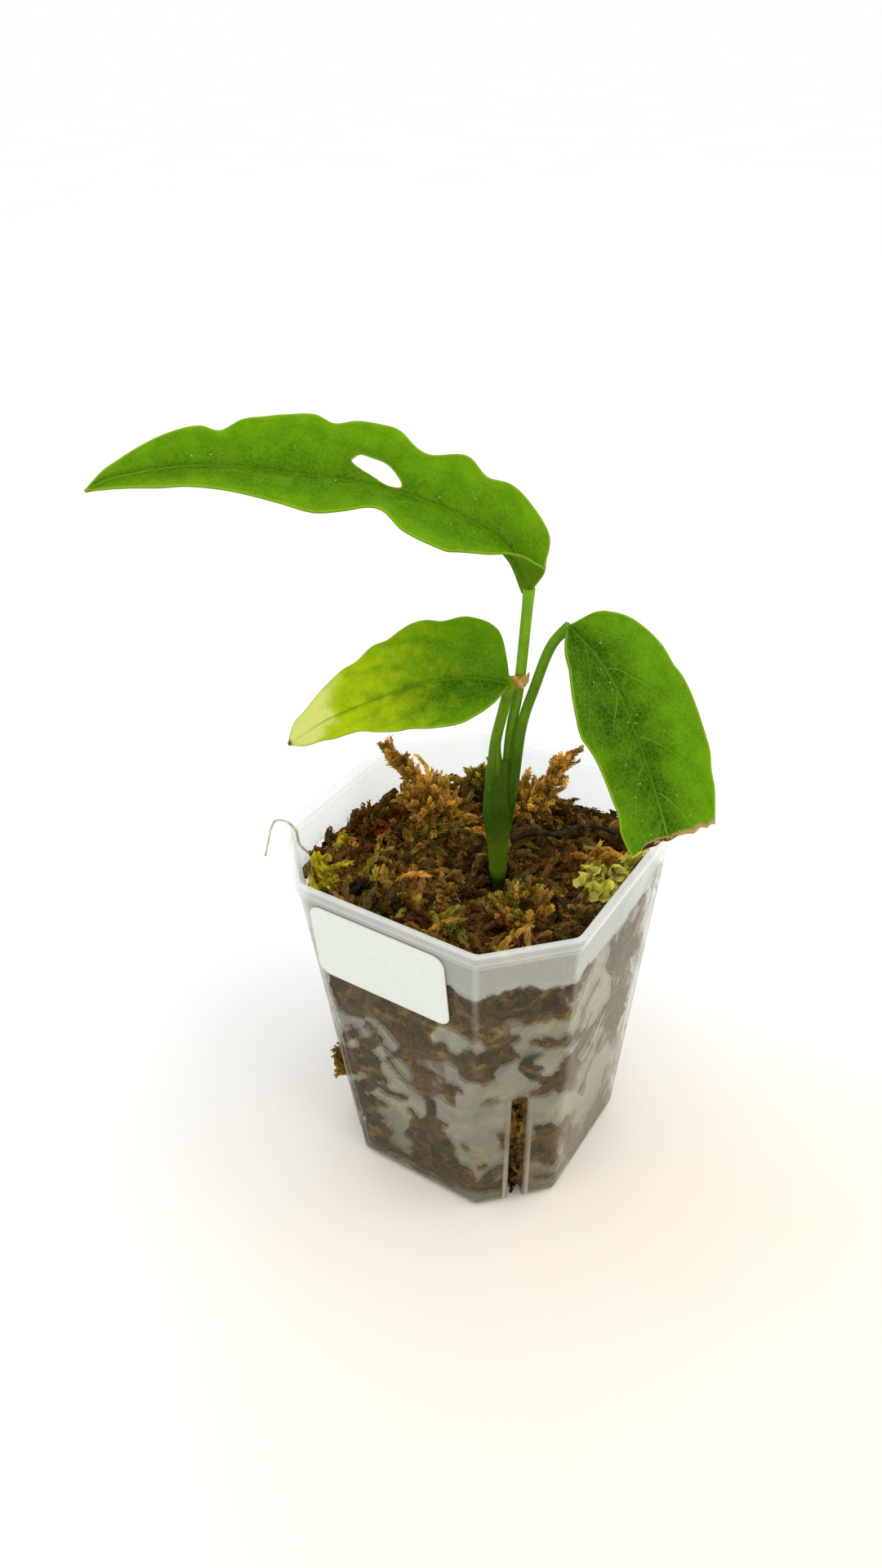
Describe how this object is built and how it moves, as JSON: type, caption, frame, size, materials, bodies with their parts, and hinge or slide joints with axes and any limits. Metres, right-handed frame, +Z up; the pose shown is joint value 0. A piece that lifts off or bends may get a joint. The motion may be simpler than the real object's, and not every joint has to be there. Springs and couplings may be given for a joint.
{
  "type": "potted young monstera plant",
  "caption": "Young monstera in a clear square pot of sphagnum moss: a short stem with slender stalks, a long wavy leaf with a hole, a yellow-tipped leaf and one with a cut tip",
  "frame": {"origin": "Middle of the pot's underside, on the ground.", "axes": "+Z up. The pot's labelled wall faces -Y, and +X points to its right as it is faced. The long upper leaf reaches over the pot towards -X."},
  "size_m": [0.1251, 0.08, 0.1872],
  "materials": {
    "clear_plastic": "clear, slightly hazy moulded plastic, satin gloss",
    "label_white": "smooth white sticker, bare",
    "moss_brown": "dead and damp brown sphagnum, matted and shaggy",
    "moss_gold": "golden brown sphagnum sprigs",
    "moss_amber": "amber sphagnum sprigs",
    "moss_olive": "pale olive sphagnum heads",
    "moss_rust": "red-brown sphagnum sprigs",
    "moss_lime": "yellow-green living sphagnum heads",
    "twig_wood": "dark dead twig",
    "dry_strand": "pale dry strand",
    "root_tan": "tan fleshy root",
    "stem_green": "smooth green stalk, satin",
    "leaf_green": "green leaf with fine veins and a thin pale margin, satin gloss",
    "leaf_yellowing": "green leaf that fades to a cream-yellow tip, satin gloss",
    "dry_sheath": "tan papery scrap"
  },
  "bodies": {
    "root": {"pot": "clear_plastic", "label": "label_white", "moss_bed": "moss_brown", "moss_gold_back_left": "moss_gold", "moss_amber_back_right": "moss_amber", "moss_olive_back": "moss_olive", "moss_rust_left": "moss_rust", "moss_gold_front": "moss_gold", "moss_olive_right": "moss_olive", "moss_lime_left": "moss_lime", "twig": "twig_wood", "pale_strand": "dry_strand", "roots": "root_tan", "stem": "stem_green", "petiole_left": "stem_green", "petiole_top": "stem_green", "petiole_right": "stem_green", "leaf_top": "leaf_green", "leaf_left": "leaf_yellowing", "leaf_right": "leaf_green", "dried_sheath": "dry_sheath"}
  },
  "joints": []
}
